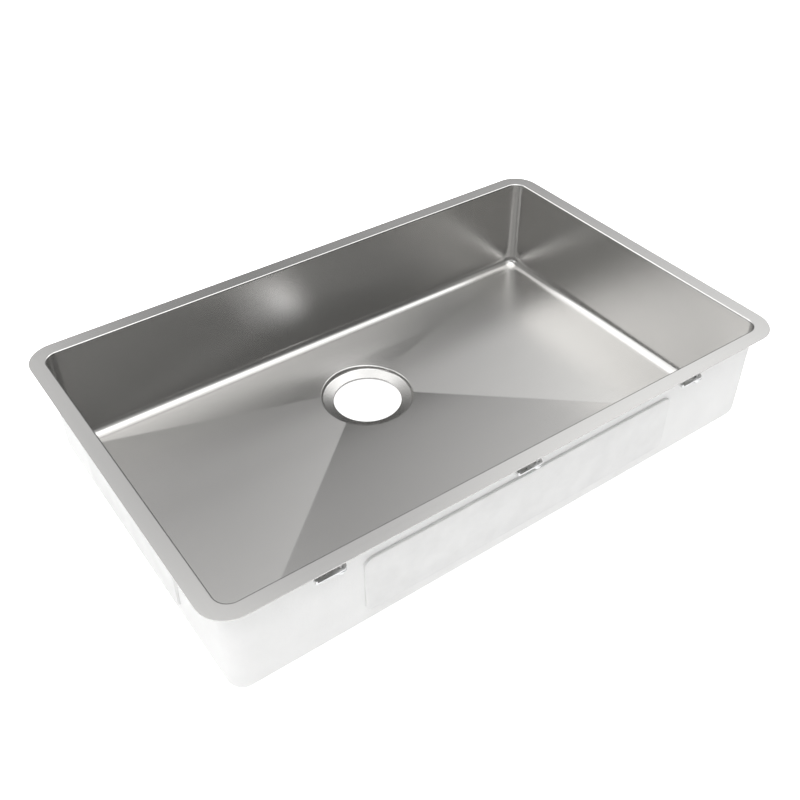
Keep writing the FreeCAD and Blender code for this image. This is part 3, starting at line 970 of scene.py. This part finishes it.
def grain_by_wall(t):
    """Panels that face along X are brushed along Y."""
    g = t.nt.nodes.new("ShaderNodeNewGeometry")
    xyz = t.nt.nodes.new("ShaderNodeSeparateXYZ")
    t.link(g.outputs["True Normal"], xyz.inputs[0])
    return t.math("GREATER_THAN", t.math("ABSOLUTE", xyz.outputs[0], 0.0), 0.7071)


def grain_by_mitre(t):
    """The rim's two short strips are brushed along Y, up to the mitres at the corners."""
    xyz = t.nt.nodes.new("ShaderNodeSeparateXYZ")
    t.link(t.tc.outputs["Object"], xyz.inputs[0])
    d = t.math("SUBTRACT", t.math("ABSOLUTE", xyz.outputs[0], 0.0), t.math("ABSOLUTE", xyz.outputs[1], 0.0))
    return t.math("GREATER_THAN", d, (RIM_X - RIM_Y) * MM)


def zinc(name, colour, rough):
    """Bright zinc plate: cloudy tone, fine grain."""
    t = Tree(name)
    t.sh.inputs["Metallic"].default_value = 1.0
    cloud = t.noise(260.0, 3.0)
    grain = t.noise(2600.0, 2.0)
    t.tint(colour, t.math("MULTIPLY", t.span(cloud, 0.9, 1.05), t.span(grain, 0.97, 1.03)))
    t.link(t.math("ADD", t.span(cloud, rough - 0.05, rough + 0.07), t.span(grain, -0.02, 0.02)), t.sh.inputs["Roughness"])
    t.relief(grain, 0.12, 0.00005)
    return t.mat


def sprayed(name, colour):
    """Matt sprayed coat with an orange-peel skin."""
    t = Tree(name)
    peel = t.noise(420.0, 3.0)
    patch = t.noise(26.0, 3.0)
    speck = t.noise(1500.0, 1.0)
    t.tint(colour, t.math("MULTIPLY", t.span(patch, 0.975, 1.012), t.span(speck, 0.985, 1.01)))
    t.link(t.span(peel, 0.62, 0.8), t.sh.inputs["Roughness"])
    t.relief(t.math("ADD", peel, t.math("MULTIPLY", speck, 0.25)), 0.35, 0.0006)
    return t.mat


def rubber(name, colour):
    """Die-cut rubber sheet: fine pebbled skin, faint cloudy bloom."""
    t = Tree(name)
    v = t.nt.nodes.new("ShaderNodeTexVoronoi")
    v.inputs["Scale"].default_value = 520.0
    t.link(t.tc.outputs["Object"], v.inputs["Vector"])
    bloom = t.noise(38.0, 4.0)
    t.tint(colour, t.span(bloom, 0.95, 1.03))
    t.link(t.span(bloom, 0.6, 0.75), t.sh.inputs["Roughness"])
    t.relief(v.outputs["Distance"], 0.25, 0.0003)
    return t.mat


STEEL = brushed_steel("steel_brushed", (0.5845, 0.5785, 0.5665), 0.27, grain_by_wall)
RIM_STEEL = brushed_steel("rim_steel_brushed", (0.584, 0.579, 0.569), 0.27, grain_by_mitre)
COATING = sprayed("coat_sprayed", (0.86, 0.86, 0.855))
RUBBER = rubber("pad_rubber", (0.80, 0.80, 0.795))
ZINC = zinc("zinc_plate", (0.72, 0.725, 0.73), 0.32)
BRIGHT = zinc("stud_steel", (0.66, 0.66, 0.655), 0.28)
rim.data.materials.append(RIM_STEEL)
for ob in (walls, floor):
    ob.data.materials.append(STEEL)
coat.data.materials.append(COATING)
for ob in PADS:
    ob.data.materials.append(RUBBER)
studs.data.materials.append(BRIGHT)
for ob in CLAMPS:
    ob.data.materials.append(ZINC)

# ------------------------------------------------------------------ stage
me = bpy.data.meshes.new("stage_floor")
s = 6.0
me.from_pydata([(-s, -s, -0.1512), (s, -s, -0.1512), (s, s, -0.1512), (-s, s, -0.1512)], [], [(0, 1, 2, 3)])
stage = bpy.data.objects.new("stage_floor", me)
bpy.context.scene.collection.objects.link(stage)
t = Tree("stage_white")
t.sh.inputs["Roughness"].default_value = 0.9
t.sh.inputs["Emission Color"].default_value = (1, 1, 1, 1)
DRAIN_GLOW = (0.026, 0.078, 0.016)  # painted glow: a soft bright patch that the stage emits under the drain, lighting the opening from below and showing as the light spot on the back wall: place and spread
far = t.nt.nodes.new("ShaderNodeVectorMath")
far.operation = "DISTANCE"
far.inputs[1].default_value = (0.0, DRAIN_Y * MM, -0.1512)
t.link(t.tc.outputs["Object"], far.inputs[0])
# painted shade: the stage's colour is dark within 50 mm of the drain centre and light beyond 60 mm, so the floor under
# the opening shows little but its painted glow
t.link(t.span(far.outputs["Value"], 0.12, 0.9, 0.050, 0.060), t.sh.inputs["Base Color"])
# painted glow: a ring from 41.5 to 50 mm round the drain centre that brightens the drain's lip, and a fainter even
# glow beyond 60 mm
glow_ring_and_floor = t.math("ADD", t.span(far.outputs["Value"], 0.0, 0.5, 0.0395, 0.0415), t.span(far.outputs["Value"], 0.0, -0.3, 0.050, 0.060))
gap = t.nt.nodes.new("ShaderNodeVectorMath")
gap.operation = "DISTANCE"
gap.inputs[1].default_value = (DRAIN_GLOW[0], DRAIN_GLOW[1], -0.1512)
t.link(t.tc.outputs["Object"], gap.inputs[0])
# painted glow: round patch of emission under the drain, centred off to one side of it
fall = t.math("EXPONENT", t.math("MULTIPLY", t.math("POWER", gap.outputs["Value"], 2.0), -0.5 / DRAIN_GLOW[2] ** 2), 0.0)
drain_glow_strength = t.math("ADD", t.math("MULTIPLY", fall, 1.5), 0.12)
ray = t.nt.nodes.new("ShaderNodeLightPath").outputs["Is Camera Ray"]
t.link(t.math("MAXIMUM", ray, t.math("ADD", drain_glow_strength, glow_ring_and_floor)), t.sh.inputs["Emission Strength"])
stage.data.materials.append(t.mat)

# ------------------------------------------------------------------ light
scene = bpy.context.scene
scene.view_settings.view_transform = "Standard"
scene.view_settings.look = "None"
world = bpy.data.worlds.new("studio")
scene.world = world
world.use_nodes = True
nt = world.node_tree
for n in list(nt.nodes):
    nt.nodes.remove(n)
out = nt.nodes.new("ShaderNodeOutputWorld")
room = nt.nodes.new("ShaderNodeBackground")
seen = nt.nodes.new("ShaderNodeBackground")
seen.inputs[1].default_value = 1.0
for b in (room, seen):
    b.inputs[0].default_value = (1, 1, 1, 1)
ray = nt.nodes.new("ShaderNodeLightPath")
mix = nt.nodes.new("ShaderNodeMixShader")
nt.links.new(ray.outputs["Is Camera Ray"], mix.inputs[0])
nt.links.new(room.outputs[0], mix.inputs[1])
nt.links.new(seen.outputs[0], mix.inputs[2])
nt.links.new(mix.outputs[0], out.inputs[0])
sky = nt.nodes.new("ShaderNodeTexCoord").outputs["Generated"]


def number(op, *values):
    n = nt.nodes.new("ShaderNodeMath")
    n.operation = op
    for k, v in enumerate(values):
        if isinstance(v, (int, float)):
            n.inputs[k].default_value = v
        else:
            nt.links.new(v, n.inputs[k])
    return n.outputs[0]


def soft_light(azimuth, elevation, strength, spread):
    """A round soft light far away; azimuth from +Y towards +X, all angles in degrees."""
    a, e = math.radians(azimuth), math.radians(elevation)
    n = nt.nodes.new("ShaderNodeVectorMath")
    n.operation = "DOT_PRODUCT"
    n.inputs[1].default_value = (math.cos(e) * math.sin(a), math.cos(e) * math.cos(a), math.sin(e))
    nt.links.new(sky, n.inputs[0])
    k = 1.0 / math.radians(spread) ** 2
    return number("MULTIPLY", number("EXPONENT", number("MULTIPLY_ADD", n.outputs["Value"], k, -k)), strength)


AMBIENT = 0.06
LIGHTS = [  # azimuth, elevation, strength, spread
    (-144.0, 64.0, 3.43, 9.0),
    (90.0, 50.0, 3.35, 9.0),
    (-108.0, 64.0, 2.82, 9.0),
    (0.0, 64.0, 2.69, 9.0),
    (108.0, 78.0, 2.56, 9.0),
    (-40.0, 36.0, 2.33, 9.0),
    (-38.6, 50.0, 2.09, 9.0),
    (-60.0, 22.0, 2.04, 9.0),
    (144.0, 64.0, 1.86, 9.0),
    (180.0, 64.0, 1.57, 9.0),
    (64.3, 50.0, 1.51, 9.0),
    (-160.0, 36.0, 1.45, 9.0),
    (0.0, 36.0, 1.54, 7.8),
    (-128.6, 22.0, 0.94, 9.0),
    (60.0, 36.0, 0.65, 9.0),
    (180.0, 36.0, 0.60, 9.0),
    (42.0, 34.0, 0.42, 9.0),
    (38.6, 50.0, 0.17, 9.0),
    (56.0, 66.0, 1.80, 6.0),
    (114.0, 62.0, 0.20, 8.0),
    (27.0, 15.0, 0.30, 7.0),
    (-99.0, 28.0, 7.50, 3.2),
    (35.0, 40.0, 0.13, 4.5),
]
total = AMBIENT
for light in LIGHTS:
    total = number("ADD", soft_light(*light), total)
nt.links.new(total, room.inputs["Strength"])

# ------------------------------------------------------------------ camera
yaw, pitch, roll = math.radians(35.36), math.radians(40.328), math.radians(-0.146)
fwd = Vector((math.sin(yaw) * math.cos(pitch), math.cos(yaw) * math.cos(pitch), -math.sin(pitch)))
right = Vector((math.cos(yaw), -math.sin(yaw), 0.0))
up = right.cross(fwd)
r2 = right * math.cos(roll) + up * math.sin(roll)
u2 = up * math.cos(roll) - right * math.sin(roll)
cam_data = bpy.data.cameras.new("camera")
cam_data.sensor_width = 36.0
cam_data.sensor_fit = "HORIZONTAL"
cam_data.lens = 44.657
cam = bpy.data.objects.new("camera", cam_data)
scene.collection.objects.link(cam)
m3 = Matrix((r2, u2, -fwd)).transposed()
cam.matrix_world = Matrix.Translation((-0.5409, -0.7475, 0.6942)) @ m3.to_4x4()
cam_data.clip_start = 0.01
scene.camera = cam

bpy.context.view_layer.update()
